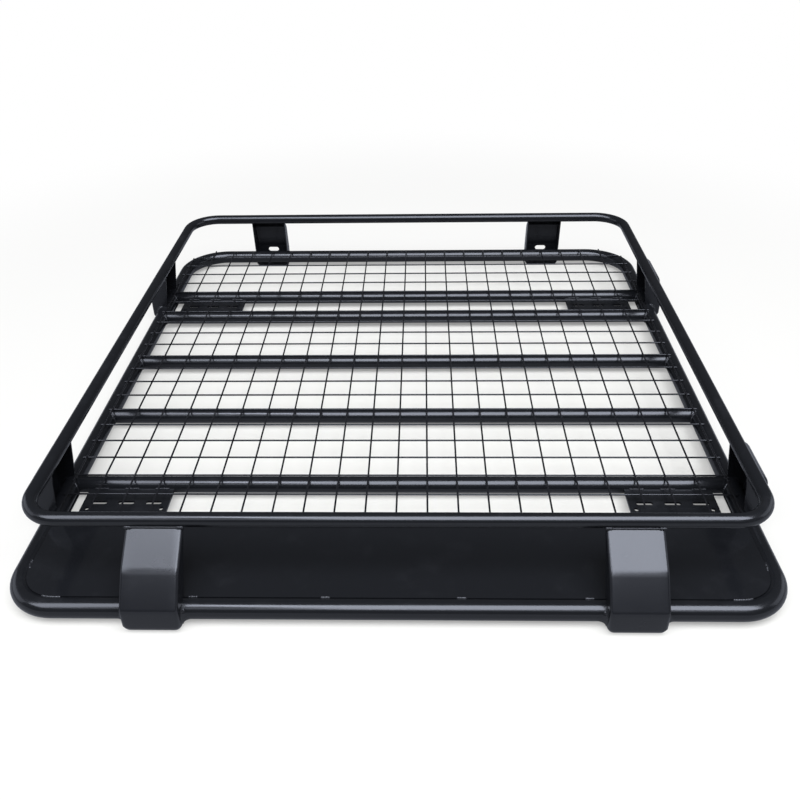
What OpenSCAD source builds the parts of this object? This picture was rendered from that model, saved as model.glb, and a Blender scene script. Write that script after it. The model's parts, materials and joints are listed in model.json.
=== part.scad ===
// Roof basket: a welded tube frame with a wire mesh floor, a raised rail on eight
// pressed stanchions, four slotted mount plates and a sheet wind deflector.
// The front, with the deflector, points to -Y. All sizes are in millimetres.

/* [Base frame] */
// Length of the base frame over its tubes
frame_l = 1258; // [1100:2:1520]
// Width of the base frame over its tubes
frame_w = 1154; // [960:2:1390]
// Outer diameter of the base tube
base_d = 30; // [25:0.5:36]
// Wall of the base tube
base_wall = 2; // [1.5:0.1:3]
// Bend radius of the front corners at the tube's centre
front_bend_r = 66; // [55:1:110]
// Bend radius of the rear corners at the tube's centre
rear_bend_r = 96; // [70:1:120]
// Straight leg of each end bend beyond its corner
bend_leg = 30; // [20:1:60]

/* [Upper rail] */
// Height of the rail's centre above the base tube's centre
rail_h = 110; // [90:1:135]
// Outer diameter of the rail tube
rail_d = 22; // [18:0.5:25]
// Wall of the rail tube
rail_wall = 1.6; // [1.2:0.1:2.5]
// How far the rail's front run sits behind the base tube's
rail_back_front = 67.5; // [40:0.5:80]
// How far the rail's side runs sit inside the base tubes
rail_in_side = 19; // [12:0.5:26]
// How far the rail's rear run sits inside the base tube's
rail_in_rear = 14.5; // [12:0.5:26]
// Bend radius of the upper rail's front corners
rail_front_bend_r = 56; // [45:1:90]
// Bend radius of the upper rail's rear corners
rail_rear_bend_r = 66; // [50:1:90]

/* [Crossbars] */
// Outer diameter of a crossbar
bar_d = 28; // [22:0.5:30]
// Wall of a crossbar
bar_wall = 1.5; // [1.2:0.1:2.5]
// Spacing of the two bars that carry a mount plate
pair_pitch = 100; // [90:1:120]
// Spacing of the middle bars, counted forward from the rear pair
bar_pitch = 200; // [160:1:210]
// Centre of the front pair, from the base frame's front centreline
front_pair = 229.5; // [200:0.5:250]
// Centre of the rear pair, from the base frame's rear centreline
rear_pair = 291.5; // [240:0.5:320]

/* [Mesh floor] */
// Spacing of the wires both ways
mesh_pitch = 50; // [40:1:60]
// Thickness of a wire across its flats
wire_d = 3.2; // [2.5:0.1:4]
// Share of a wire's thickness that melts into the wire it crosses
wire_melt = 0.3; // [0.2:0.05:0.4]
// Height of the wires above the tops of the crossbars
wire_seat = 0.2; // [0.1:0.05:0.3]

/* [Mount plates] */
// Length of a mount plate along the crossbars
plate_l = 145; // [130:1:170]
// Thickness of a mount plate
plate_t = 4; // [3:0.5:6]
// Gap from a mount plate's outer end to the side tube's centreline
plate_gap = 36.5; // [25:0.5:60]
// Length of a slot from end to end
slot_l = 28; // [20:1:34]
// Width of a slot
slot_w = 8; // [6:0.5:10]
// Spacing of the three slots
slot_pitch = 46; // [38:1:48]
// Diameter of the two small holes beside the slots
pin_hole_d = 8; // [5:0.5:9]
// Spacing of the two small holes
pin_hole_pitch = 124; // [100:1:126]
// Distance of the small holes in front of the slots
pin_hole_off = 15; // [12:0.5:20]

/* [Wind deflector] */
// Thickness of the deflector sheet
deflector_t = 1.5; // [1:0.1:2]
// How far the sheet's edge stays inside the base tube's centreline
deflector_in = 10.5; // [4:0.5:12]

/* [Stanchions] */
// Width of a front or rear stanchion
end_stanchion_w = 84; // [70:1:100]
// Width of a side stanchion
side_stanchion_w = 92; // [70:1:100]
// Thickness of the pressed sheet
sheet_t = 2.5; // [2:0.1:3]
// Distance of the front stanchions' centres from the middle
front_stanchion_x = 344; // [280:1:400]
// Distance of the rear stanchions' centres from the middle
rear_stanchion_x = 354; // [280:1:400]
// Centre of the front side stanchions, from the base frame's front centreline
side_front_y = 240; // [200:1:300]
// Centre of the rear side stanchions, from the base frame's rear centreline
side_rear_y = 266; // [200:1:300]
// How far a stanchion's face stands out from the base tube's centreline
hip_out = 29; // [24:0.5:34]
// Height of the stanchion's lower bend above the base tube's centre
hip_h = 22; // [16:0.5:30]
// How far a stanchion reaches below the base tube's centre
foot_drop = 22; // [20:0.5:26]
// Length of the strap slot in a rear stanchion
strap_slot_l = 27; // [20:1:40]
// Width of the strap slot
strap_slot_w = 12; // [8:0.5:14]

/* [Hidden] */
$fn = 64;
// Gap left for a weld between two pieces
weld_gap = 0.3;
// Corners below this size are left out of a cut
eps = 0.01;

base_r = base_d / 2;
rail_r = rail_d / 2;
bar_r = bar_d / 2;
half_x = frame_w / 2 - base_r;
half_y = frame_l / 2 - base_r;
base_z = foot_drop;
floor_top = base_z + base_r;
bar_z = floor_top - bar_r;
rail_z = base_z + rail_h;

rail_x = half_x - rail_in_side;
rail_front_y = -half_y + rail_back_front;
rail_rear_y = half_y - rail_in_rear;

front_pair_y = -half_y + front_pair;
rear_pair_y = half_y - rear_pair;
bar_y = [
    front_pair_y - pair_pitch / 2,
    front_pair_y + pair_pitch / 2,
    rear_pair_y - pair_pitch / 2 - 2 * bar_pitch,
    rear_pair_y - pair_pitch / 2 - bar_pitch,
    rear_pair_y - pair_pitch / 2,
    rear_pair_y + pair_pitch / 2
];
first_bar_y = bar_y[0];

front_leg_y = -half_y + front_bend_r + bend_leg;
rear_leg_y = half_y - rear_bend_r - bend_leg;
rail_front_leg_y = rail_front_y + rail_front_bend_r + bend_leg;
rail_rear_leg_y = rail_rear_y - rail_rear_bend_r - bend_leg;

// Stanchion outline: knee places for the set-back front and for the other sides
front_knee = [-8, rail_h - 44];
front_knee_r = 50;
side_knee = [18, rail_h - 28];
side_knee_r = 26;
hip_r = 14;
heel_r = 14;
toe_in = -8;
side_lip = -7;
// Rise of a flange beside the tube before it leans to the rail, which clears the deflector
lip_rise = 3;
foot_corner_r = 15;
side_y = [-half_y + side_front_y, half_y - side_rear_y];
// On a narrow basket the end stanchions move in to stay on the tubes' straight runs
front_x = min(front_stanchion_x, half_x - front_bend_r - end_stanchion_w / 2 - 4);
rear_x = min(rear_stanchion_x, half_x - rear_bend_r - end_stanchion_w / 2 - 4);
strap_slot_z = 10.5;

// Mesh wires: those across the basket lie on the bars, those along it lie on top of them
wire_r = wire_d / 2 / cos(30);
cross_wire_z = floor_top + wire_seat + wire_d / 2;
long_wire_z = cross_wire_z + wire_d * (1 - wire_melt);
long_wires = floor((half_x - 5) / mesh_pitch);
cross_wire_inset = 7.4;
wire_front_y = first_bar_y - 2;
wire_overhang = -2;
cross_rows = floor((half_y - wire_front_y - 25) / mesh_pitch);
rows_per_panel = ceil((cross_rows + 1) / 3);
// The deflector rests on the inner shoulders of the base tube and of the first bar
deflector_z = base_z + sqrt(pow(base_r, 2) - pow(deflector_in, 2)) + weld_gap;
deflector_rear_y = first_bar_y - sqrt(pow(bar_r + weld_gap, 2) - pow(deflector_z - bar_z, 2));

frame_colour = "#2b2d30";
mesh_colour = "#3a3c40";
sheet_colour = "#26282b";

// Points of a rounded corner at b between the lines from a and to c
function unit(v) = v / norm(v);
function corner_arc(a, b, c, r, n = 5) =
    let (
        in_dir = unit(a - b),
        out_dir = unit(c - b),
        half = acos(in_dir * out_dir) / 2,
        reach = r / tan(half),
        centre = b + unit(in_dir + out_dir) * r / sin(half),
        from = b + in_dir * reach - centre,
        to = b + out_dir * reach - centre,
        start = atan2(from.y, from.x),
        turn = atan2(from.x * to.y - from.y * to.x, from * to)
    )
    [for (i = [0:n]) centre + r * [cos(start + turn * i / n), sin(start + turn * i / n)]];

// The point b moved inwards so that both of its lines move by t
function mitre(a, b, c, t) =
    let (
        n1 = let (d = unit(b - a)) [d.y, -d.x],
        n2 = let (d = unit(c - b)) [d.y, -d.x]
    )
    b + t * (n1 + n2) / (1 + n1 * n2);

// A straight hollow tube along +Z
module tube(l, d, wall) {
    difference() {
        cylinder(h = l, d = d);
        translate([0, 0, -1]) cylinder(h = l + 2, d = d - 2 * wall);
    }
}

module tube_along_x(x0, x1, d, wall) {
    translate([x0, 0, 0]) rotate([0, 90, 0]) tube(x1 - x0, d, wall);
}

module tube_along_y(y0, y1, d, wall) {
    translate([0, y0, 0]) rotate([-90, 0, 0]) tube(y1 - y0, d, wall);
}

// A quarter bend about the origin, from +X round to +Y
module quarter_bend(r, d, wall) {
    rotate_extrude(angle = 90) translate([r, 0]) difference() {
        circle(d = d);
        circle(d = d - 2 * wall);
    }
}

// One end of a loop: a straight run, two corners and two short legs. The run is at y = 0
// and the legs point to -Y.
module end_bend(half_w, r, leg, d, wall) {
    union() {
        tube_along_x(-half_w + r, half_w - r, d, wall);
        for (side = [0, 1]) mirror([side, 0, 0]) {
            translate([half_w - r, -r, 0]) quarter_bend(r, d, wall);
            translate([half_w, 0, 0]) tube_along_y(-r - leg, -r, d, wall);
        }
    }
}

module base_front_bend() {
    color(frame_colour) translate([0, -half_y, base_z]) mirror([0, 1, 0])
        end_bend(half_x, front_bend_r, bend_leg, base_d, base_wall);
}

module base_rear_bend() {
    color(frame_colour) translate([0, half_y, base_z])
        end_bend(half_x, rear_bend_r, bend_leg, base_d, base_wall);
}

module base_side(side) {
    color(frame_colour) translate([side * half_x, 0, base_z])
        tube_along_y(front_leg_y, rear_leg_y, base_d, base_wall);
}

module rail_front_bend() {
    color(frame_colour) translate([0, rail_front_y, rail_z]) mirror([0, 1, 0])
        end_bend(rail_x, rail_front_bend_r, bend_leg, rail_d, rail_wall);
}

module rail_rear_bend() {
    color(frame_colour) translate([0, rail_rear_y, rail_z])
        end_bend(rail_x, rail_rear_bend_r, bend_leg, rail_d, rail_wall);
}

module rail_side(side) {
    color(frame_colour) translate([side * rail_x, 0, rail_z])
        tube_along_y(rail_front_leg_y, rail_rear_leg_y, rail_d, rail_wall);
}

// A crossbar whose ends are coped to fit round the side tubes
module crossbar(i) {
    cope_r = base_r + weld_gap;
    bar_end_x = half_x + side_lip - 2 * weld_gap;
    color(frame_colour) difference() {
        translate([0, bar_y[i], bar_z]) tube_along_x(-bar_end_x, bar_end_x, bar_d, bar_wall);
        for (side = [-1, 1]) translate([side * half_x, bar_y[i] - bar_d, base_z])
            rotate([-90, 0, 0]) cylinder(h = 2 * bar_d, r = cope_r);
    }
}

module wire(l) {
    cylinder(h = l, r = wire_r, $fn = 6);
}

function near_plate(at, planes) =
    len([for (p = planes) if (abs(at - p) < sheet_t + wire_d) p]) > 0;

// Both outer planes of each stanchion that a wire end could meet
side_planes = [for (y = side_y) for (s = [-1, 1]) y + s * (side_stanchion_w - sheet_t) / 2];
rear_planes = [for (x = [-1, 1]) for (s = [-1, 1])
    x * rear_x + s * (end_stanchion_w - sheet_t) / 2];

// The rear tube's centreline at a place across the basket, round its corners
function rear_line_y(x) =
    let (past = abs(x) - (half_x - rear_bend_r))
    past <= 0 ? half_y : half_y - rear_bend_r + sqrt(max(0, pow(rear_bend_r, 2) - pow(past, 2)));
function side_line_x(y) =
    let (past = y - (half_y - rear_bend_r))
    past <= 0 ? half_x : half_x - rear_bend_r + sqrt(max(0, pow(rear_bend_r, 2) - pow(past, 2)));

function cross_wire_y(i) = wire_front_y + cross_wire_inset + i * mesh_pitch;
function long_wire_end(x) =
    near_plate(x, rear_planes) ? half_y + side_lip - wire_d : rear_line_y(x) + wire_overhang;
function cross_wire_end(y) =
    near_plate(y, side_planes) ? half_x + side_lip - wire_d : side_line_x(y) + wire_overhang;

// One of the three panels of the mesh floor, between two cuts across the basket
module mesh_panel(first_row, last_row, y0, y1) {
    color(mesh_colour) union() {
        for (i = [-long_wires:long_wires]) {
            x = i * mesh_pitch;
            end_y = min(y1, long_wire_end(x));
            translate([x, y0, long_wire_z]) rotate([-90, 0, 0]) wire(end_y - y0);
        }
        for (i = [first_row:last_row]) {
            end_x = cross_wire_end(cross_wire_y(i));
            translate([-end_x, cross_wire_y(i), cross_wire_z]) rotate([0, 90, 0])
                rotate([0, 0, 30]) wire(2 * end_x);
        }
    }
}

panel_cut_1 = cross_wire_y(rows_per_panel) - mesh_pitch / 2;
panel_cut_2 = cross_wire_y(2 * rows_per_panel) - mesh_pitch / 2;

module mesh_front() {
    mesh_panel(0, rows_per_panel - 1, wire_front_y, panel_cut_1);
}

module mesh_middle() {
    mesh_panel(rows_per_panel, 2 * rows_per_panel - 1, panel_cut_1, panel_cut_2);
}

module mesh_rear() {
    mesh_panel(2 * rows_per_panel, cross_rows, panel_cut_2, frame_l);
}

// The deflector: square at the rear, with the front corners round inside the tube's
module wind_deflector() {
    half = half_x - deflector_in;
    front = -half_y + deflector_in;
    r = front_bend_r - deflector_in;
    color(sheet_colour) translate([0, 0, deflector_z]) linear_extrude(deflector_t) union() {
        translate([-half, front + r]) square([2 * half, deflector_rear_y - front - r]);
        translate([-half + r, front]) square([2 * (half - r), r + eps]);
        for (side = [-1, 1]) translate([side * (half - r), front + r]) circle(r = r);
    }
}

module slot_cut(l, w, h) {
    union() {
        for (s = [-1, 1]) translate([s * (l - w) / 2, 0, 0]) cylinder(h = h, d = w);
        translate([-(l - w) / 2, -w / 2, 0]) cube([l - w, w, h]);
    }
}

// A plate between the two bars of a pair, with three slots and two small holes
module mount_plate(side, y) {
    plate_w = pair_pitch - bar_d - 2 * weld_gap;
    centre_x = half_x - plate_gap - plate_l / 2;
    color(sheet_colour) translate([side * centre_x, y, bar_z - plate_t / 2]) difference() {
        translate([-plate_l / 2, -plate_w / 2, 0]) cube([plate_l, plate_w, plate_t]);
        for (i = [-1, 0, 1]) translate([i * slot_pitch, 0, -1])
            slot_cut(slot_l, slot_w, plate_t + 2);
        for (i = [-1, 1]) translate([i * pin_hole_pitch / 2, -pin_hole_off, -1])
            cylinder(h = plate_t + 2, d = pin_hole_d);
    }
}

// Corner points of a stanchion's face, seen from its end: x is outwards from the base
// tube's centreline, y is up. It runs from the rail over the knee and the hip, down past
// the tube and under it to the toe.
function face_line(inset_x, knee) = [
    [-inset_x, rail_h - 2],
    knee,
    [hip_out, hip_h],
    [hip_out, -foot_drop],
    [toe_in, -foot_drop]
];

function inner_line(p) = [
    p[0] + sheet_t * (let (d = unit(p[1] - p[0])) [d.y, -d.x]),
    mitre(p[0], p[1], p[2], sheet_t),
    mitre(p[1], p[2], p[3], sheet_t),
    mitre(p[2], p[3], p[4], sheet_t),
    p[4] + [0, sheet_t]
];

function bent(p, bend_r, less) = concat(
    [p[0]],
    corner_arc(p[0], p[1], p[2], bend_r - less),
    corner_arc(p[1], p[2], p[3], hip_r - less),
    corner_arc(p[2], p[3], p[4], heel_r - less),
    [p[4]]
);

// A pressed channel from the rail to the base tube: a bent face with a flange along each
// side. The flanges sit on the rail and on the tube, and the foot folds under the tube.
module stanchion(inset_x, knee, knee_r, w, lip = side_lip, slotted = false) {
    face = face_line(inset_x, knee);
    back = [[toe_in, 0], [lip, 0], [lip, base_r + lip_rise], [-inset_x, rail_h - rail_r]];
    outline = concat(bent(face, knee_r, 0), back);
    cut = concat(bent(inner_line(face), knee_r, sheet_t),
        [[-rail_h, -foot_drop + sheet_t], [-rail_h, rail_h]]);
    color(frame_colour) rotate([90, 0, 0]) difference() {
        intersection() {
            translate([0, 0, -w / 2]) linear_extrude(w) polygon(outline);
            foot_outline(w, foot_drop, foot_corner_r);
        }
        intersection() {
            translate([0, 0, -w / 2 + sheet_t]) linear_extrude(w - 2 * sheet_t) polygon(cut);
            foot_outline(w - 2 * sheet_t, foot_drop - sheet_t, foot_corner_r - sheet_t);
        }
        translate([0, 0, -w]) cylinder(h = 2 * w, r = base_r + weld_gap);
        translate([-inset_x, rail_h, -w]) cylinder(h = 2 * w, r = rail_r + weld_gap);
        if (slotted) translate([0, strap_slot_z, 0]) rotate([0, 90, 0])
            slot_cut(strap_slot_l, strap_slot_w, 2 * hip_out);
    }
}

// The stanchion seen square on, with the two lower corners of its foot rounded off
module foot_outline(w, drop, r) {
    translate([-2 * rail_h, 0, 0]) rotate([0, 90, 0]) rotate([0, 0, 90])
        linear_extrude(4 * rail_h) union() {
            translate([r - drop, -w / 2]) square([2 * rail_h, w]);
            translate([-drop, r - w / 2]) square([r + eps, w - 2 * r]);
            for (s = [-1, 1]) translate([r - drop, s * (w / 2 - r)]) circle(r = r);
        }
}

module front_stanchion(side) {
    translate([side * front_x, -half_y, base_z]) rotate([0, 0, -90])
        stanchion(rail_back_front, front_knee, front_knee_r, end_stanchion_w, weld_gap - deflector_in);
}

module rear_stanchion(side) {
    translate([side * rear_x, half_y, base_z]) rotate([0, 0, 90])
        stanchion(rail_in_rear, side_knee, side_knee_r, end_stanchion_w, slotted = true);
}

module side_stanchion(side, y) {
    translate([side * half_x, y, base_z]) rotate([0, 0, side > 0 ? 0 : 180])
        stanchion(rail_in_side, side_knee, side_knee_r, side_stanchion_w);
}

base_front_bend();
base_rear_bend();
base_side(-1);  // base_side_left
base_side(1);  // base_side_right
rail_front_bend();
rail_rear_bend();
rail_side(-1);  // rail_side_left
rail_side(1);  // rail_side_right
crossbar(0);  // crossbar_1
crossbar(1);  // crossbar_2
crossbar(2);  // crossbar_3
crossbar(3);  // crossbar_4
crossbar(4);  // crossbar_5
crossbar(5);  // crossbar_6
mesh_front();
mesh_middle();
mesh_rear();
wind_deflector();
mount_plate(-1, front_pair_y);  // mount_plate_front_left
mount_plate(1, front_pair_y);  // mount_plate_front_right
mount_plate(-1, rear_pair_y);  // mount_plate_rear_left
mount_plate(1, rear_pair_y);  // mount_plate_rear_right
front_stanchion(-1);  // stanchion_front_left
front_stanchion(1);  // stanchion_front_right
rear_stanchion(-1);  // stanchion_rear_left
rear_stanchion(1);  // stanchion_rear_right
side_stanchion(-1, side_y[0]);  // stanchion_left_front
side_stanchion(-1, side_y[1]);  // stanchion_left_rear
side_stanchion(1, side_y[0]);  // stanchion_right_front
side_stanchion(1, side_y[1]);  // stanchion_right_rear
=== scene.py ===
"""Looks of a black powder-coated steel roof basket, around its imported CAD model."""
import json
import math
from collections import namedtuple

import bmesh
import bpy
from mathutils import Matrix, Vector


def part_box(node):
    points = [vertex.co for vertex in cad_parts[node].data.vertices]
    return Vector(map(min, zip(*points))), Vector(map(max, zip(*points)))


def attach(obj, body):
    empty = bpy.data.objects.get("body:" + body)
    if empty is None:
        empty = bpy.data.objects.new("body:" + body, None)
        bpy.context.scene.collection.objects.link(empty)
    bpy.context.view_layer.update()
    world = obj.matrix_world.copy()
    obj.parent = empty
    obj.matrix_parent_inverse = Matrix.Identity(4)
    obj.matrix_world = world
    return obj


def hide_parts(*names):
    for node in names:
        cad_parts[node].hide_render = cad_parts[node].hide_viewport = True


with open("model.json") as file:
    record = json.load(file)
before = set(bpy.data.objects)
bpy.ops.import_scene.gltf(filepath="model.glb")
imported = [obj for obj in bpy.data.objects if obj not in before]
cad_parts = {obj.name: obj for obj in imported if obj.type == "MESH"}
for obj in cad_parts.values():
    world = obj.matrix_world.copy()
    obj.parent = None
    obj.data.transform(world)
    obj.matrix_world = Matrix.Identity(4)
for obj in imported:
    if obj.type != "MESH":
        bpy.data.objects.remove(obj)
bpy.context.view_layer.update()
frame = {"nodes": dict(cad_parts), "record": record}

MM = 0.001

# Sizes taken from the frame, in metres
LEFT_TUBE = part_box("base_side_left")
RIGHT_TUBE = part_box("base_side_right")
TUBE_R = (LEFT_TUBE[1].x - LEFT_TUBE[0].x) / 2
TUBE_X = (RIGHT_TUBE[0].x + RIGHT_TUBE[1].x) / 2
TUBE_Z = (LEFT_TUBE[0].z + LEFT_TUBE[1].z) / 2
FRONT_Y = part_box("base_front_bend")[0].y + TUBE_R
REAR_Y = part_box("base_rear_bend")[1].y - TUBE_R
LEFT_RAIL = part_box("rail_side_left")
RIGHT_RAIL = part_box("rail_side_right")
RAIL_R = (LEFT_RAIL[1].x - LEFT_RAIL[0].x) / 2
RAIL_X = (RIGHT_RAIL[0].x + RIGHT_RAIL[1].x) / 2
RAIL_Z = (LEFT_RAIL[0].z + LEFT_RAIL[1].z) / 2
RAIL_FRONT_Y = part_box("rail_front_bend")[0].y + RAIL_R
RAIL_REAR_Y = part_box("rail_rear_bend")[1].y - RAIL_R


def nodes_named(start):
    """The names of the CAD nodes that start this way, in order."""
    return [name for name in sorted(frame["nodes"]) if name.startswith(start)]


def share_between(value, first, last):
    """Where a value lies on the way from one number to another, from 0 to 1."""
    return min(max((value - first) / (last - first), 0.0), 1.0)


class Num:
    """A socket that carries a number, with Python's operators as Math nodes."""

    def __init__(self, tree, socket):
        self.tree = tree
        self.socket = socket

    def _math(self, operation, *values):
        node = self.tree.nodes.new("ShaderNodeMath")
        node.operation = operation
        for slot_in, value in zip(node.inputs, values):
            if isinstance(value, Num):
                self.tree.links.new(value.socket, slot_in)
            else:
                slot_in.default_value = value
        return Num(self.tree, node.outputs[0])

    def __add__(self, other):
        return self._math("ADD", self, other)

    def __radd__(self, other):
        return self._math("ADD", other, self)

    def __sub__(self, other):
        return self._math("SUBTRACT", self, other)

    def __rsub__(self, other):
        return self._math("SUBTRACT", other, self)

    def __mul__(self, other):
        return self._math("MULTIPLY", self, other)

    def size(self):
        """The number without its sign."""
        return self._math("ABSOLUTE", self)


class Shader:
    """The node tree of a material or a world, with one method that adds any node."""

    def __init__(self, owner):
        owner.use_nodes = True
        self.owner = owner
        self.tree = owner.node_tree
        self.tree.nodes.clear()

    def feed(self, target, value):
        """Links a socket to an input, or writes a plain value in it."""
        if isinstance(value, Num):
            value = value.socket
        if isinstance(value, bpy.types.NodeSocket):
            self.tree.links.new(value, target)
        else:
            target.default_value = value

    def node(self, kind, settings=None, **sockets):
        made = self.tree.nodes.new(kind)
        for key, value in (settings or {}).items():
            setattr(made, key, value)
        for key, value in sockets.items():
            self.feed(made.inputs[key.replace("_", " ")], value)
        return made

    def number(self, socket):
        return Num(self.tree, socket)

    def object_coords(self):
        return self.node("ShaderNodeTexCoord").outputs["Object"]

    def noise(self, coords, scale, detail, roughness):
        made = self.node("ShaderNodeTexNoise", Vector=coords, Scale=scale, Detail=detail,
                         Roughness=roughness)
        return self.number(made.outputs["Fac"])

    def ramp(self, value, low, high):
        """A soft step from 0 at low to 1 at high."""
        made = self.node("ShaderNodeMapRange", {"interpolation_type": "SMOOTHSTEP"},
                         Value=value, From_Min=low, From_Max=high)
        return self.number(made.outputs["Result"])

    def mix_colour(self, factor, first, second):
        made = self.node("ShaderNodeMix", {"data_type": "RGBA"})
        for index, value in ((0, factor), (6, first), (7, second)):
            self.feed(made.inputs[index], value)
        return made.outputs[2]

    def mix_shader(self, factor, first, second):
        made = self.node("ShaderNodeMixShader", Fac=factor)
        for index, part in ((1, first), (2, second)):
            self.feed(made.inputs[index], part.outputs[0])
        return made


# Scales of the coat's noise, in waves per metre
CLOUD_SCALE = 6.0
SMUDGE_SCALE = 19.0
SPECK_SCALE = 420.0
BROAD_PEEL_SCALE = 260.0
FINE_PEEL_SCALE = 1300.0
DUST_COLOUR = (0.05, 0.05, 0.052, 1)


def powder_coat(name, colour, roughness, peel, dust=0.35):
    """Black powder coat: fine orange peel, cloudy gloss and a little dust on what faces up."""
    shader = Shader(bpy.data.materials.new(name))
    coords = shader.object_coords()
    cloud = shader.noise(coords, CLOUD_SCALE, 3.0, 0.55)
    smudge = shader.ramp(shader.noise(coords, SMUDGE_SCALE, 4.0, 0.6), 0.5, 0.8)
    specks = shader.ramp(shader.noise(coords, SPECK_SCALE, 3.0, 0.6), 0.62, 0.78)
    fine = shader.noise(coords, FINE_PEEL_SCALE, 1.0, 0.5)
    broad = shader.noise(coords, BROAD_PEEL_SCALE, 2.0, 0.45)
    normal = shader.node("ShaderNodeNewGeometry").outputs["Normal"]
    up = shader.number(shader.node("ShaderNodeSeparateXYZ", Vector=normal).outputs["Z"])
    settled = shader.ramp(up, 0.5, 1.0) * (specks * 0.6 + smudge * 0.4) * dust
    base = shader.mix_colour(settled, (*colour, 1), DUST_COLOUR)
    gloss = roughness + (cloud - 0.5) * 0.07 + smudge * 0.05 + settled * 0.15
    bump = shader.node("ShaderNodeBump", Strength=1.0, Distance=peel,
                       Height=fine * 0.35 + broad * 0.9)
    surface = shader.node("ShaderNodeBsdfPrincipled", Base_Color=base, Roughness=gloss,
                          Normal=bump.outputs["Normal"])
    shader.node("ShaderNodeOutputMaterial", Surface=surface.outputs["BSDF"])
    return shader.owner


BLACK = (0.0075, 0.0078, 0.0086)
TUBE_COAT = powder_coat("tube_coat", BLACK, 0.19, 0.022 * MM)
SHEET_COAT = powder_coat("sheet_coat", BLACK, 0.13, 0.012 * MM, 0.2)
PLATE_COAT = powder_coat("plate_coat", BLACK, 0.22, 0.03 * MM)
PRESSED_COAT = powder_coat("pressed_coat", (0.0085, 0.0088, 0.01), 0.24, 0.02 * MM)
WIRE_COAT = powder_coat("wire_coat", (0.009, 0.009, 0.01), 0.24, 0.015 * MM)
WELD_COAT = powder_coat("weld_coat", (0.011, 0.0112, 0.012), 0.16, 0.04 * MM)

COAT_OF_SLOT = {
    "frame_tube": TUBE_COAT,
    "rail_tube": TUBE_COAT,
    "crossbar_tube": TUBE_COAT,
    "mesh_wire": WIRE_COAT,
    "deflector_sheet": SHEET_COAT,
    "plate_steel": PLATE_COAT,
    "stanchion_sheet": PRESSED_COAT,
}


def start_tree(name, *inputs):
    """A Geometry Nodes tree with its input and output nodes, and these inputs of its own."""
    tree = bpy.data.node_groups.new(name, "GeometryNodeTree")
    for label, kind in (("Geometry", "Geometry"), *inputs):
        tree.interface.new_socket(label, in_out="INPUT", socket_type="NodeSocket" + kind)
    tree.interface.new_socket("Geometry", in_out="OUTPUT", socket_type="NodeSocketGeometry")
    return tree, tree.nodes.new("NodeGroupInput"), tree.nodes.new("NodeGroupOutput")


def add_tree(thing, tree, **inputs):
    """Adds a tree to an object as a modifier and sets its inputs by their identifiers."""
    modifier = thing.modifiers.new(tree.name, "NODES")
    modifier.node_group = tree
    for name, value in inputs.items():
        identifier = next(item.identifier for item in tree.interface.items_tree
                          if item.name == name and item.in_out == "INPUT")
        modifier[identifier] = value


CREASE = math.radians(32)
SAME_POINT = 0.01 * MM


def smooth_tree():
    """Geometry Nodes: joins loose triangles and shades them smooth up to a crease angle."""
    tree, given, out = start_tree("smooth_over")
    nodes, links = tree.nodes, tree.links
    merge = nodes.new("GeometryNodeMergeByDistance")
    merge.inputs["Distance"].default_value = SAME_POINT
    faces = nodes.new("GeometryNodeSetShadeSmooth")
    edges = nodes.new("GeometryNodeSetShadeSmooth")
    edges.domain = "EDGE"
    edges.inputs["Shade Smooth"].default_value = False
    angle = nodes.new("GeometryNodeInputMeshEdgeAngle")
    sharp = nodes.new("FunctionNodeCompare")
    sharp.operation = "GREATER_THAN"
    sharp.inputs[1].default_value = CREASE
    links.new(given.outputs["Geometry"], merge.inputs["Geometry"])
    links.new(merge.outputs[0], faces.inputs["Geometry"])
    links.new(faces.outputs[0], edges.inputs["Geometry"])
    links.new(angle.outputs["Unsigned Angle"], sharp.inputs[0])
    links.new(sharp.outputs[0], edges.inputs["Selection"])
    links.new(edges.outputs[0], out.inputs[0])
    return tree


def wire_tree():
    """Geometry Nodes: draws a round wire with closed ends along every edge of a mesh."""
    tree, given, out = start_tree("round_wires", ("Radius", "Float"), ("Sides", "Int"),
                                  ("Coat", "Material"))
    nodes, links = tree.nodes, tree.links
    lines = nodes.new("GeometryNodeMeshToCurve")
    circle = nodes.new("GeometryNodeCurvePrimitiveCircle")
    skin = nodes.new("GeometryNodeCurveToMesh")
    skin.inputs["Fill Caps"].default_value = True
    coat = nodes.new("GeometryNodeSetMaterial")
    links.new(given.outputs["Geometry"], lines.inputs["Mesh"])
    links.new(given.outputs["Radius"], circle.inputs["Radius"])
    links.new(given.outputs["Sides"], circle.inputs["Resolution"])
    links.new(lines.outputs["Curve"], skin.inputs["Curve"])
    links.new(circle.outputs["Curve"], skin.inputs["Profile Curve"])
    links.new(skin.outputs["Mesh"], coat.inputs["Geometry"])
    links.new(given.outputs["Coat"], coat.inputs["Material"])
    links.new(coat.outputs[0], out.inputs[0])
    return tree


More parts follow.
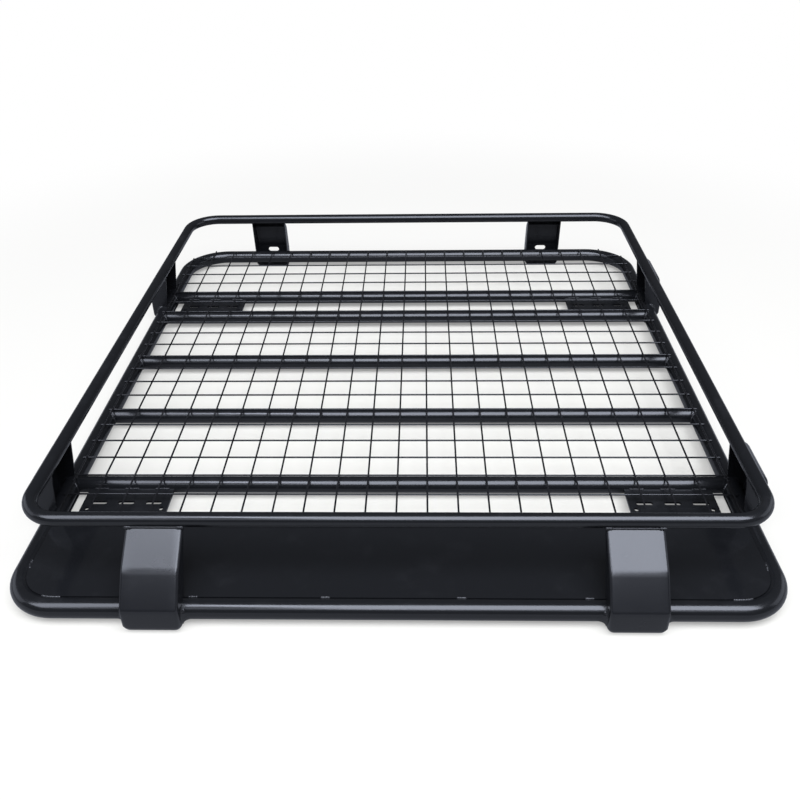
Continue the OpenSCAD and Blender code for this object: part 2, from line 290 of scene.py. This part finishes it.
def bead_tree():
    """Geometry Nodes: lays overlapping weld ripples along every line of a mesh."""
    tree, given, out = start_tree("weld_bead", ("Radius", "Float"), ("Step", "Float"),
                                  ("Seed", "Int"), ("Coat", "Material"))
    nodes, links = tree.nodes, tree.links
    lines = nodes.new("GeometryNodeMeshToCurve")
    points = nodes.new("GeometryNodeCurveToPoints")
    points.mode = "LENGTH"
    ball = nodes.new("GeometryNodeMeshUVSphere")
    ball.inputs["Segments"].default_value = 8
    ball.inputs["Rings"].default_value = 5
    swell = nodes.new("FunctionNodeRandomValue")
    swell.inputs[2].default_value = 0.88
    swell.inputs[3].default_value = 1.1
    place = nodes.new("GeometryNodeInstanceOnPoints")
    real = nodes.new("GeometryNodeRealizeInstances")
    smooth = nodes.new("GeometryNodeSetShadeSmooth")
    coat = nodes.new("GeometryNodeSetMaterial")
    links.new(given.outputs["Geometry"], lines.inputs["Mesh"])
    links.new(lines.outputs["Curve"], points.inputs["Curve"])
    links.new(given.outputs["Step"], points.inputs["Length"])
    links.new(points.outputs["Points"], place.inputs["Points"])
    links.new(given.outputs["Radius"], ball.inputs["Radius"])
    links.new(ball.outputs["Mesh"], place.inputs["Instance"])
    links.new(given.outputs["Seed"], swell.inputs["Seed"])
    links.new(swell.outputs[1], place.inputs["Scale"])
    links.new(place.outputs["Instances"], real.inputs[0])
    links.new(real.outputs[0], smooth.inputs["Geometry"])
    links.new(smooth.outputs[0], coat.inputs["Geometry"])
    links.new(given.outputs["Coat"], coat.inputs["Material"])
    links.new(coat.outputs[0], out.inputs[0])
    return tree


SMOOTH = smooth_tree()
WIRES = wire_tree()
BEADS = bead_tree()
SLOT_OF_NODE = {row["node"]: row["material_slot"] for row in frame["record"]["subparts"]}


def finish_cad_nodes():
    """Coats every CAD node and shades it smooth."""
    for name, node in frame["nodes"].items():
        coat = COAT_OF_SLOT[SLOT_OF_NODE[name]]
        if not node.data.materials:
            node.data.materials.append(coat)
        for index in range(len(node.data.materials)):
            node.data.materials[index] = coat
        add_tree(node, SMOOTH)


finish_cad_nodes()


def add_object(name, data):
    """Puts an object in the scene."""
    made = bpy.data.objects.new(name, data)
    bpy.context.scene.collection.objects.link(made)
    return made


def make_piece(name, mesh, coat, slot, *nodes):
    """Puts a finished mesh in the scene as a piece that rides on the basket."""
    piece = add_object(name, mesh)
    if not mesh.materials:
        mesh.materials.append(coat)
    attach(piece, "root")
    if nodes:
        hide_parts(*nodes)


def settle(name, mesh, add_modifiers):
    """Gives the plain mesh that a mesh becomes under the modifiers that the caller adds."""
    helper = add_object(name, mesh)
    add_modifiers(helper)
    bpy.context.view_layer.update()
    seen = helper.evaluated_get(bpy.context.evaluated_depsgraph_get())
    result = bpy.data.meshes.new_from_object(seen)
    helper.modifiers.clear()
    bpy.data.objects.remove(helper)
    result.name = name
    return result


def line_mesh(name, lines):
    """A mesh of open lines, given as lists of points."""
    points, edges = [], []
    for line in lines:
        start = len(points)
        points.extend(Vector(p) for p in line)
        edges.extend((start + i, start + i + 1) for i in range(len(line) - 1))
    mesh = bpy.data.meshes.new(name)
    mesh.from_pydata(points, edges, [])
    return mesh


def weld_beads(name, lines, radius, slot, seed, step=0.4):
    """Lays beads of weld along lines, with a ripple every so many radii."""
    def lay(helper):
        add_tree(helper, BEADS, Radius=radius, Step=radius * step, Seed=seed, Coat=WELD_COAT)

    make_piece(name, settle(name, line_mesh(name, lines), lay), WELD_COAT, slot)


# The mesh floor: round wires in place of the CAD model's six-sided ones
FLOOR_PANELS = ("mesh_front", "mesh_middle", "mesh_rear")
PITCH = 50 * MM
WIRE_R = 1.6 * MM
WIRE_SIDES = 12
# Places where a panel may have a wire: steps to each side of the middle, and rows from the front
STEPS_TO_SIDE = 12
CROSS_ROWS = 25
FIRST_CROSS_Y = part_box("mesh_front")[0].y + 7.4 * MM
CROSS_END_X = TUBE_X - 5 * MM
# How near a corner of the CAD panel is to a wire's line and level when it belongs to that wire
ON_WIRE = 1.9 * MM
ON_LEVEL = 0.2 * MM
# The rear ends bend down onto the rear tube between these two places
BEND_START_Y = REAR_Y - 19 * MM
BEND_END_Y = REAR_Y - 4 * MM


def wire_lines(node):
    """The centre lines of a panel's wires, read back from the panel's own corners."""
    spots = [v.co for v in frame["nodes"][node].data.vertices]
    lower = min(p.z for p in spots) + WIRE_R
    upper = max(p.z for p in spots) - WIRE_R
    lines = []
    for step in range(-STEPS_TO_SIDE, STEPS_TO_SIDE + 1):
        x = step * PITCH
        reach = [p.y for p in spots if abs(p.x - x) < ON_WIRE and p.z > upper - ON_LEVEL]
        if reach:
            line = [(x, min(reach), upper), (x, max(reach), upper)]
            if max(reach) > REAR_Y - 5 * MM:
                line[1:] = [(x, BEND_START_Y, upper),
                            (x, BEND_END_Y, TUBE_Z + TUBE_R + WIRE_R)]
            lines.append(line)
    for step in range(CROSS_ROWS):
        y = FIRST_CROSS_Y + step * PITCH
        reach = [p.x for p in spots if abs(p.y - y) < ON_WIRE and p.z < lower + ON_LEVEL]
        if reach:
            lines.append([(max(min(reach), -CROSS_END_X), y, lower),
                          (min(max(reach), CROSS_END_X), y, lower)])
    return lines


def draw_floor_panel(node):
    """Draws a panel's wires in place of the CAD panel."""
    def draw(helper):
        add_tree(helper, WIRES, Radius=WIRE_R, Sides=WIRE_SIDES, Coat=WIRE_COAT)
        add_tree(helper, SMOOTH)

    name = node + "_wires"
    mesh = settle(name, line_mesh(name, wire_lines(node)), draw)
    make_piece(name, mesh, WIRE_COAT, "mesh_wire", node)


for panel in FLOOR_PANELS:
    draw_floor_panel(panel)


# The pressed stanchions, with folded edges in place of the CAD model's square ones.
# A section is drawn in millimetres: out from the base tube's centre line, and up.
SHEET = 2.5
SEAT_R = TUBE_R / MM + 0.1
RAIL_SEAT_R = RAIL_R / MM + 0.1
RAIL_UP = (RAIL_Z - TUBE_Z) / MM
TOP = RAIL_UP - 2        # the face's top edge, beside the rail
HIP = 29.0               # how far out the face stands beside the base tube
HIP_TOP = 22.0           # where it has come down to there
DROP = 22.0              # the foot's underside, below the tube's centre line
TOE = -8.0               # where the foot ends, inside the tube's centre line
HIP_R = 14.0
HEEL_R = 14.0
FOLD = 5.0               # radius of the folded edges
FOOT_FOLD = 11.0         # the same on the foot's underside
FOOT_FOLD_TOP = -8.0     # where the fold starts to grow towards the foot's
LIP_FOOT = 20.0          # above this the flange's back edge runs up to the rail
LIP_HEAD = RAIL_UP - 22
LIP_UP = 3.0             # how far above the base tube that edge starts
HEEL_TURN = -18.4        # where the flange meets the tube at the heel, in degrees
FOOT_TURN = -50.0        # and under the foot
MIDDLE_SHARES = (0.0, 0.35, 0.7)
FOLD_STEPS = 6
FLANGE_STEPS = 4

# A section: how far the rail stands in, the knee and its radius, and where the flange's back
# edge starts to run up to the rail
Section = namedtuple("Section", "inset knee knee_r lip")
FRONT_SHAPE = ((-8, RAIL_UP - 44), 50.0, -10.2)
SIDE_SHAPE = ((18, RAIL_UP - 28), 26.0, -7.0)
Stanchion = namedtuple("Stanchion", "name origin out along width section")


def find_stanchions():
    """The stanchions, each with its origin on the base tube, its way out and its section."""
    found = []
    for name in nodes_named("stanchion_"):
        low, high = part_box(name)
        middle = (low + high) / 2
        shape = SIDE_SHAPE
        if "_front_" in name:
            origin, out = Vector((middle.x, FRONT_Y, TUBE_Z)), Vector((0, -1, 0))
            inset, shape = (RAIL_FRONT_Y - FRONT_Y) / MM, FRONT_SHAPE
        elif "_rear_" in name:
            origin, out = Vector((middle.x, REAR_Y, TUBE_Z)), Vector((0, 1, 0))
            inset = (REAR_Y - RAIL_REAR_Y) / MM
        else:
            side = 1 if middle.x > 0 else -1
            origin, out = Vector((side * TUBE_X, middle.y, TUBE_Z)), Vector((side, 0, 0))
            inset = (TUBE_X - RAIL_X) / MM
        along = Vector((0, 0, 1)).cross(out)
        width = ((high.y - low.y) if out.x else (high.x - low.x)) / MM
        found.append(Stanchion(name, origin, out, along, width, Section(inset, *shape)))
    return found


STANCHIONS = find_stanchions()


def round_corner(before, corner, after, radius, steps):
    """The points of an arc that rounds a corner."""
    first, second = (before - corner).normalized(), (after - corner).normalized()
    half = first.angle(second) / 2
    centre = corner + (first + second).normalized() * radius / math.sin(half)
    start = corner + first * radius / math.tan(half) - centre
    end = corner + second * radius / math.tan(half) - centre
    turn = math.atan2(start.x * end.y - start.y * end.x, start.dot(end))
    arc = []
    for i in range(steps + 1):
        sine, cosine = math.sin(turn * i / steps), math.cos(turn * i / steps)
        arc.append(centre + Vector((start.x * cosine - start.y * sine,
                                    start.x * sine + start.y * cosine)))
    return arc


def face_path(section):
    """Points down the face, from the rail to the toe, with the way inwards at each."""
    corners = [Vector(p) for p in ((-section.inset, TOP), section.knee, (HIP, HIP_TOP),
                                   (HIP, -DROP), (TOE, -DROP))]
    points = [corners[0]]
    for index, (radius, steps) in enumerate(((section.knee_r, 14), (HIP_R, 8), (HEEL_R, 10)), 1):
        points += round_corner(*corners[index - 1:index + 2], radius, steps)
    toe = corners[-1]
    points += [points[-1].lerp(toe, share) for share in (0.35, 0.7, 1.0)]
    inwards = []
    for index, point in enumerate(points):
        before, after = points[max(index - 1, 0)], points[min(index + 1, len(points) - 1)]
        along = (after - before).normalized()
        inwards.append(Vector((along.y, -along.x)))
    return points, inwards


def reach_circle(start, way, centre, radius):
    """How far a ray runs before it meets a circle, or None."""
    across = start - centre
    half_b = across.dot(way)
    rest = half_b * half_b - across.length_squared + radius * radius
    return -half_b - math.sqrt(rest) if rest > 0 and half_b < 0 else None


def fold_angle(point, inward, fold):
    """How far the sheet is folded at a place: a right angle, or less where the tube is near."""
    hit = reach_circle(point, inward, Vector((0, 0)), SEAT_R)
    if hit is not None and hit < fold:
        return math.acos(1 - hit / fold)
    if point.x < 0 and point.y < 0:
        room = DROP - math.sqrt(SEAT_R ** 2 - point.x ** 2)
        return math.acos(max(1 - room / fold, 0))
    return math.pi / 2


def flange_back(front, section, under):
    """The point on the flange's back edge that belongs to a point on its front edge."""
    rail = Vector((-section.inset, RAIL_UP))
    lip_foot = Vector((section.lip, SEAT_R + LIP_UP))
    lip_head = rail + (lip_foot - rail).normalized() * RAIL_SEAT_R
    if front.y > LIP_FOOT:
        return lip_foot.lerp(lip_head, share_between(front.y, LIP_FOOT, LIP_HEAD))
    if front.y > 0:
        level = min(front.y, SEAT_R - 0.4)
        return Vector((math.sqrt(SEAT_R ** 2 - level ** 2), level))
    turn = math.radians(HEEL_TURN + (FOOT_TURN - HEEL_TURN) * under)
    return Vector((math.cos(turn), math.sin(turn))) * SEAT_R


def stanchion_rows(section, width):
    """Half of the pressed shell: for each place down the face, points from its middle round
    the fold and over the flange, as (out, up, along)."""
    path, inwards = face_path(section)
    rail = Vector((-section.inset, RAIL_UP))
    down = (path[1] - path[0]).normalized()
    rows = []
    for index, (point, inward) in enumerate(zip(path, inwards)):
        under = share_between(point.y, FOOT_FOLD_TOP, -DROP)
        fold = FOLD + (FOOT_FOLD - FOLD) * math.sqrt(under)
        most = fold_angle(point, inward, fold)
        half = width / 2 - fold
        row = []
        for step in range(FOLD_STEPS + 1):
            turn = most * step / FOLD_STEPS
            deep = fold * (1 - math.cos(turn))
            spot = point + inward * deep
            if index == 0:
                # The top row is coped to the rail
                spot = path[1] + inward * deep
                spot -= down * reach_circle(spot, -down, rail, RAIL_SEAT_R)
            row.append((spot.x, spot.y, half + fold * math.sin(turn)))
        row[:0] = [(*row[0][:2], half * share) for share in MIDDLE_SHARES]
        edge = row[-1]
        front = Vector(edge[:2])
        whole = most == math.pi / 2
        behind = flange_back(front, section, under) if whole else front.copy()
        for step in range(1, FLANGE_STEPS + 1):
            spot = front.lerp(behind, step / FLANGE_STEPS)
            if index == 0:
                spot = rail + (spot - rail).normalized() * RAIL_SEAT_R
            row.append((spot.x, spot.y, width / 2 if whole else edge[2]))
        rows.append(row)
    return rows


def finish_mesh(name, made):
    """Turns a bmesh into a mesh."""
    mesh = bpy.data.meshes.new(name)
    made.to_mesh(mesh)
    made.free()
    return mesh


def pressed_mesh(name, rows, post):
    """The shell's mesh, with both halves joined."""
    made = bmesh.new()
    count = len(rows[0])

    def place(spot, side):
        return post.origin + (post.out * spot[0] + Vector((0, 0, spot[1]))
                              + post.along * spot[2] * side) * MM

    grid = []
    for row in rows:
        left = [made.verts.new(place(spot, -1)) for spot in reversed(row[1:])]
        grid.append(left + [made.verts.new(place(spot, 1)) for spot in row])
    for above, below in zip(grid, grid[1:]):
        for i in range(2 * count - 2):
            made.faces.new((above[i], above[i + 1], below[i + 1], below[i]))
    bmesh.ops.remove_doubles(made, verts=made.verts, dist=0.02 * MM)
    bmesh.ops.dissolve_degenerate(made, edges=made.edges, dist=0.01 * MM)
    made.normal_update()
    facing = sum(face.normal.dot(post.out) * face.calc_area() for face in made.faces)
    if facing < 0:
        bmesh.ops.reverse_faces(made, faces=made.faces)
    return finish_mesh(name, made)


# The strap slot in each rear stanchion, in millimetres
SLOT_LENGTH = 27.0
SLOT_HEIGHT = 12.0
SLOT_UP = 10.5
SLOT_POINTS = 24
CUT_DEPTH = 8.0


def slot_cutter(post):
    """A rod with round ends that cuts a level slot through the face."""
    radius = SLOT_HEIGHT / 2
    edge = []
    for i in range(SLOT_POINTS):
        turn = 2 * math.pi * i / SLOT_POINTS
        shift = (SLOT_LENGTH / 2 - radius) * (1 if math.cos(turn) >= 0 else -1)
        edge.append((math.cos(turn) * radius + shift, math.sin(turn) * radius + SLOT_UP))
    made = bmesh.new()
    inner, outer = ([made.verts.new(post.origin + (post.out * deep + post.along * side
                                                   + Vector((0, 0, high))) * MM)
                     for side, high in edge] for deep in (HIP - CUT_DEPTH, HIP + CUT_DEPTH))
    made.faces.new(inner)
    made.faces.new(outer[::-1])
    for i in range(SLOT_POINTS):
        j = (i + 1) % SLOT_POINTS
        made.faces.new((inner[j], inner[i], outer[i], outer[j]))
    bmesh.ops.recalc_face_normals(made, faces=made.faces)
    return add_object("slot_cutter", finish_mesh("slot_cutter", made))


def press_stanchions():
    """Makes the pressed stanchions: sheet thickness, a slot in the rear two, broken rims."""
    for post in STANCHIONS:
        name = post.name + "_pressed"
        shell = pressed_mesh(name, stanchion_rows(post.section, post.width), post)
        cutter = slot_cutter(post) if "_rear_" in post.name else None

        def press(helper):
            thick = helper.modifiers.new("thick", "SOLIDIFY")
            thick.thickness = SHEET * MM
            thick.offset = -1.0
            if cutter:
                cut = helper.modifiers.new("slot", "BOOLEAN")
                cut.operation = "DIFFERENCE"
                cut.object = cutter
                cut.solver = "EXACT"
            rim = helper.modifiers.new("rim", "BEVEL")
            rim.width = 0.35 * MM
            rim.segments = 2
            rim.limit_method = "ANGLE"
            rim.angle_limit = math.radians(50)
            add_tree(helper, SMOOTH)

        mesh = settle(name, shell, press)
        # The thickness can swell the foot sideways, so it is drawn in to the stanchion's width
        for corner in mesh.vertices:
            side = (corner.co - post.origin).dot(post.along)
            over = abs(side) - post.width / 2 * MM
            if over > 0:
                corner.co -= post.along * math.copysign(over, side)
        if cutter:
            bpy.data.objects.remove(cutter)
        make_piece(name, mesh, PRESSED_COAT, "stanchion_sheet", post.name)


press_stanchions()


# The fillets at the feet, in millimetres, with angles round the base tube in radians
FILLET_STEPS = 46
FILLET_ACROSS = 6
FILLET_LOW = -1.85                  # where it starts, under the foot
FILLET_HIGH_FRONT = 1.15            # where it ends, over the tube, on a front stanchion
FILLET_HIGH = 1.35                  # and on the others
WIDE_RUN, NARROW_RUN = 12.5, 3.5    # how far it runs out on the tube, low down and high up
HIGH_RISE, LOW_RISE = 6.6, 3.2      # how far it climbs the sheet
TUCK = 11.5                         # how far its top follows the fold under the foot
BULGE = 0.45


def foot_fillet(made, post, side):
    """A hollow weld fillet between a stanchion's flange and the base tube."""
    seat = TUBE_R / MM
    edge = post.width / 2
    high_turn = FILLET_HIGH_FRONT if "_front_" in post.name else FILLET_HIGH
    rings = []
    for step in range(FILLET_STEPS + 1):
        share = step / FILLET_STEPS
        turn = FILLET_LOW + (high_turn - FILLET_LOW) * share
        under = share_between(turn, -0.9, -1.6)
        run = WIDE_RUN + (NARROW_RUN - WIDE_RUN) * share_between(turn, -0.6, 1.0)
        rise = HIGH_RISE + (LOW_RISE - HIGH_RISE) * share_between(turn, -0.2, 1.4)
        taper = min(1.0, share * 12, (1 - share) * 5 + 0.15)
        foot = Vector((edge + run * taper, seat - 0.3))
        top = Vector((edge - TUCK * under, seat + rise * max(taper, under * 0.95)))
        corner = Vector((edge - 3.0 * under, seat + 0.2))
        ripple = 0.3 * math.sin(step * 2.1) + 0.12 * math.sin(step * 5.3 + 1)
        ring = []
        for i in range(FILLET_ACROSS + 1):
            f = i / FILLET_ACROSS
            spot = foot * (1 - f) ** 2 + corner * (2 * f * (1 - f)) + top * f * f
            swell = (ripple + BULGE) * math.sin(math.pi * f)
            ring.append(spot + Vector((0.7, 0.7)) * swell)
        # Two points inside the metal close the ring
        ring += [top + Vector((-2.0, -0.6)), Vector((edge - 4 - 9 * under, seat - 2))]
        way = post.out * math.cos(turn) + Vector((0, 0, math.sin(turn)))
        rings.append([made.verts.new(post.origin + (way * p.y + post.along * side * p.x) * MM)
                      for p in ring])
    count = len(rings[0])
    for first, second in zip(rings, rings[1:]):
        for i in range(count):
            j = (i + 1) % count
            made.faces.new((first[i], first[j], second[j], second[i]))
    made.faces.new(rings[0])
    made.faces.new(rings[-1][::-1])


def weld_stanchion_feet():
    """The fillets on both sides of every stanchion's foot."""
    made = bmesh.new()
    for post in STANCHIONS:
        for side in (-1, 1):
            foot_fillet(made, post, side)
    bmesh.ops.recalc_face_normals(made, faces=made.faces)
    for face in made.faces:
        face.smooth = True
    mesh = finish_mesh("stanchion_foot_welds", made)
    make_piece("stanchion_foot_welds", mesh, WELD_COAT, "stanchion_sheet")


weld_stanchion_feet()

TOP_WELD_R = 1.9 * MM
TOP_BLOB_R = 3.1 * MM
HALF_BLOB = 3 * MM


def weld_stanchion_tops():
    """A line of weld along the rail at each stanchion, and a blob at each end of it."""
    lines, blobs = [], []
    for post in STANCHIONS:
        path, _ = face_path(post.section)
        rail = Vector((-post.section.inset, RAIL_UP))
        back = (path[0] - path[1]).normalized()
        meet = path[1] + back * reach_circle(path[1], back, rail, RAIL_SEAT_R)
        spot = post.origin + (post.out * (meet.x + 0.9) + Vector((0, 0, meet.y + 0.3))) * MM
        ends = [spot + post.along * (side * (post.width / 2 - 4) * MM) for side in (-1, 1)]
        lines.append(ends)
        for end in ends:
            blobs.append([end - post.along * HALF_BLOB, end + post.along * HALF_BLOB])
    weld_beads("stanchion_top_welds", lines, TOP_WELD_R, "stanchion_sheet", 3)
    weld_beads("stanchion_top_blobs", blobs, TOP_BLOB_R, "stanchion_sheet", 5, 0.5)


weld_stanchion_tops()

RING_POINTS = 32
RING_WELD_R = 2.0 * MM


def weld_crossbars():
    """A ring of weld where each crossbar meets the side tubes."""
    inmost = TUBE_X - 7 * MM
    highest = TUBE_Z + TUBE_R - 0.9 * MM
    lines = []
    for name in nodes_named("crossbar_"):
        low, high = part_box(name)
        radius = (high.y - low.y) / 2
        middle_y, middle_z = (low.y + high.y) / 2, (low.z + high.z) / 2
        for side in (-1, 1):
            ring = []
            for i in range(RING_POINTS + 1):
                turn = 2 * math.pi * i / RING_POINTS
                y = middle_y + math.cos(turn) * (radius + 0.4 * MM)
                z = middle_z + math.sin(turn) * (radius + 0.1 * MM)
                up = min(abs(z - TUBE_Z) / TUBE_R, 1)
                x = TUBE_X - TUBE_R * math.sqrt(1 - up * up)
                ring.append((side * min(x, inmost), y, min(z, highest)))
            lines.append(ring)
    weld_beads("crossbar_welds", lines, RING_WELD_R, "crossbar_tube", 7)


weld_crossbars()

STITCH_SHARES = (0.14, 0.5, 0.86)
HALF_STITCH = 11 * MM
STITCH_R = 1.5 * MM


def weld_plates():
    """Stitches of weld along both edges of each mount plate."""
    lines = []
    for name in nodes_named("mount_plate_"):
        low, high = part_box(name)
        z = high.z + 0.4 * MM
        for edge in (low.y + 0.3 * MM, high.y - 0.3 * MM):
            for share in STITCH_SHARES:
                x = low.x + (high.x - low.x) * share
                lines.append([(x - HALF_STITCH, edge, z), (x + HALF_STITCH, edge, z)])
    weld_beads("plate_welds", lines, STITCH_R, "plate_steel", 11)


weld_plates()

# Welds on the deflector's edge, in millimetres: where the tacks are along the front, and the
# points of two beads round each front corner
TACKS_X = (-290, -98, 98, 281)
HALF_TACK = 5
TACK_R = 2.5
CORNER_BEADS = (((485, -604), (495, -604), (503, -603.4), (510, -602)),
                ((551, -545), (552.5, -539), (552.5, -531)))


def weld_deflector():
    """Short tacks along the deflector's front edge and beads at each of its corners."""
    low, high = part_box("wind_deflector")
    y, z = low.y + 1 * MM, high.z - 1.2 * MM
    lines = [[((x - HALF_TACK) * MM, y, z), ((x + HALF_TACK) * MM, y, z)] for x in TACKS_X]
    for side in (-1, 1):
        for bead in CORNER_BEADS:
            lines.append([(side * bead_x * MM, bead_y * MM, z) for bead_x, bead_y in bead])
    weld_beads("deflector_welds", lines, TACK_R * MM, "deflector_sheet", 13)


weld_deflector()

# A black rod under the deflector's edge: painted shade, standing in for the dark seam where the
# sheet meets the tube
SEAM_R = 0.9 * MM
SEAM_INWARDS = 1.3 * MM


def shade_deflector_seam():
    """A black rod under the deflector's edge that shuts the gap to the tube, standing in for the
    seam's shade.
    """
    low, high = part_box("wind_deflector")
    centre = (low + high) / 2
    under = [v.co for v in frame["nodes"]["wind_deflector"].data.vertices
             if v.co.z < low.z + 0.1 * MM]
    ring = sorted({(round(p.x, 5), round(p.y, 5)) for p in under},
                  key=lambda p: math.atan2(p[1] - centre.y, p[0] - centre.x))
    seam = []
    for x, y in ring:
        inwards = Vector((-math.copysign(SEAM_INWARDS, x),
                          math.copysign(SEAM_INWARDS, centre.y - y), 0))
        seam.append(Vector((x, y, low.z - 0.5 * MM)) + inwards)
    seam.append(seam[0])

    def draw(helper):
        add_tree(helper, WIRES, Radius=SEAM_R, Sides=8, Coat=SHEET_COAT)

    mesh = settle("deflector_seam_shade", line_mesh("deflector_seam_shade", [seam]), draw)
    make_piece("deflector_seam_shade", mesh, SHEET_COAT, "deflector_sheet")


shade_deflector_seam()

HALF_NUGGET = 1.4 * MM
END_NUGGET = 2.5 * MM
NUGGET_R = 1.9 * MM


def weld_wires():
    """A nugget under each lengthwise wire at every crossbar, and under the ends that lie on
    the side tubes and the rear tube."""
    lines = []
    top_of_tube = TUBE_Z + TUBE_R - 0.1 * MM
    bars = [((low.y + high.y) / 2, high.z + 1.2 * MM)
            for low, high in (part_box(name) for name in nodes_named("crossbar_"))]
    for panel in FLOOR_PANELS:
        for line in wire_lines(panel):
            (x0, y0, z0), (x1, y1, _) = line[0], line[-1]
            if x0 == x1:
                if panel == "mesh_rear":
                    lines.append([(x0, y1 - END_NUGGET, top_of_tube), (x0, y1, top_of_tube)])
                for y, z in bars:
                    if y0 - 2 * MM < y < y1 + 2 * MM:
                        lines.append([(x0, y - HALF_NUGGET, z), (x0, y + HALF_NUGGET, z)])
            else:
                z = z0 - 0.6 * MM
                for side, x in ((-1, x0), (1, x1)):
                    lines.append([(x, y0, z), (x - side * END_NUGGET, y0, z)])
    weld_beads("wire_welds", lines, NUGGET_R, "mesh_wire", 17, 0.75)


weld_wires()

WHITE = (1, 1, 1, 1)
FLOOR_SEEN = (0.64, 0.605, 0.51, 1)
FLOOR_IN_GLOSS = (0.24, 0.24, 0.24, 1)
HALF_FLOOR = 20.0
# In metres from the floor's middle: where it fades to white, and where the painted shade under
# the basket ends at its sides and at its ends
WHITE_FADE = (1.0, 1.9)
SIDE_FADE = (0.545, 0.62)
END_FADE = (0.6, 0.67)
GLOW = 0.74
# Painted shade: the floor glows this much less under the basket, so that its real shadow there
# shows darker
PAINTED_SHADE_UNDER = 0.46


def make_floor():
    """A floor white to the eye and greyer in the gloss, with the basket's shadow and painted
    shade under it.
    """
    shader = Shader(bpy.data.materials.new("floor"))
    coords = shader.object_coords()
    away = shader.node("ShaderNodeVectorMath", {"operation": "LENGTH"}, Vector=coords)
    far = shader.ramp(shader.number(away.outputs["Value"]), *WHITE_FADE)
    place = shader.node("ShaderNodeSeparateXYZ", Vector=coords)
    past_side = shader.ramp(shader.number(place.outputs["X"]).size(), *SIDE_FADE)
    past_end = shader.ramp(shader.number(place.outputs["Y"]).size(), *END_FADE)
    # Painted shade under the basket: a patch where less of the floor glows, so its shadow shows
    # darker
    painted_shade_patch = (1 - past_side) * (1 - past_end)
    seen = shader.number(shader.node("ShaderNodeLightPath").outputs["Is Camera Ray"])
    matt = shader.node("ShaderNodeBsdfDiffuse",
                       Color=shader.mix_colour(seen, FLOOR_IN_GLOSS, FLOOR_SEEN))
    white = shader.node("ShaderNodeEmission", Color=WHITE, Strength=1.0)
    mixed = shader.mix_shader((GLOW + far * (1 - GLOW) - painted_shade_patch * PAINTED_SHADE_UNDER) * seen, matt, white)
    shader.node("ShaderNodeOutputMaterial", Surface=mixed.outputs[0])
    mesh = bpy.data.meshes.new("floor")
    corners = [(x * HALF_FLOOR, y * HALF_FLOOR, 0)
               for x, y in ((-1, -1), (1, -1), (1, 1), (-1, 1))]
    mesh.from_pydata(corners, [], [(0, 1, 2, 3)])
    mesh.materials.append(shader.owner)
    add_object("floor", mesh)


make_floor()

LAMP_COLOUR = (0.91, 0.97, 1.13)
# Each soft box: its name, its place, what it faces, its width and depth, and its brightness,
# where 1 is a white that just clips
SOFT_BOXES = (
    ("top_box", (0.95, -1.8, 4.1), (0.2, 0.0, 0.0), 4.5, 3.3, 7.6),
    ("left_box", (-2.5, -1.8, 3.9), (-0.6, 0.0, 0.0), 2.4, 3.3, 5.0),
    ("front_card", (0.0, -3.9, 3.2), (0.0, 0.0, 0.0), 5.0, 0.9, 1.5),
    ("left_card", (-3.4, 0.2, 1.1), (0.0, 0.1, 0.2), 3.0, 1.6, 0.8),
    ("right_card", (3.4, 0.2, 1.1), (0.0, 0.1, 0.2), 3.0, 1.6, 0.8),
)


def hang_soft_box(name, place, aim, width, depth, brightness):
    light = bpy.data.lights.new(name, "AREA")
    light.shape = "RECTANGLE"
    light.size = width
    light.size_y = depth
    light.energy = brightness * math.pi * width * depth
    light.color = LAMP_COLOUR
    made = add_object(name, light)
    made.location = place
    direction = Vector(aim) - Vector(place)
    made.rotation_euler = direction.to_track_quat("-Z", "Y").to_euler()


for box in SOFT_BOXES:
    hang_soft_box(*box)


def make_world():
    """White to the eye, dim to the object, so that the soft boxes shape the highlights."""
    world = bpy.data.worlds.new("studio")
    bpy.context.scene.world = world
    shader = Shader(world)
    seen = shader.node("ShaderNodeLightPath").outputs["Is Camera Ray"]
    dim = shader.node("ShaderNodeBackground", Color=(0.96, 0.98, 1.0, 1), Strength=0.07)
    white = shader.node("ShaderNodeBackground", Color=WHITE)
    mixed = shader.mix_shader(seen, dim, white)
    shader.node("ShaderNodeOutputWorld", Surface=mixed.outputs[0])


make_world()

# The photograph's viewpoint, solved from its wire crossings: metres, degrees, and a lens in
# millimetres on a 36 mm sensor
CAMERA_PLACE = (0.0425, -1.4575, 0.9221 + TUBE_Z)
CAMERA_YAW = 1.84
CAMERA_PITCH = 33.64
CAMERA_ROLL = 1.10
CAMERA_LENS = 38.1


def make_camera():
    """The camera: in front, a little to the right, looking down 34 degrees."""
    camera = bpy.data.cameras.new("camera")
    camera.sensor_width = 36.0
    camera.lens = CAMERA_LENS
    made = add_object("camera", camera)
    turn = (Matrix.Rotation(math.radians(CAMERA_YAW), 4, "Z")
            @ Matrix.Rotation(math.radians(90 - CAMERA_PITCH), 4, "X")
            @ Matrix.Rotation(math.radians(-CAMERA_ROLL), 4, "Z"))
    made.matrix_world = Matrix.Translation(CAMERA_PLACE) @ turn
    bpy.context.scene.camera = made


make_camera()
bpy.context.scene.view_settings.view_transform = "Standard"
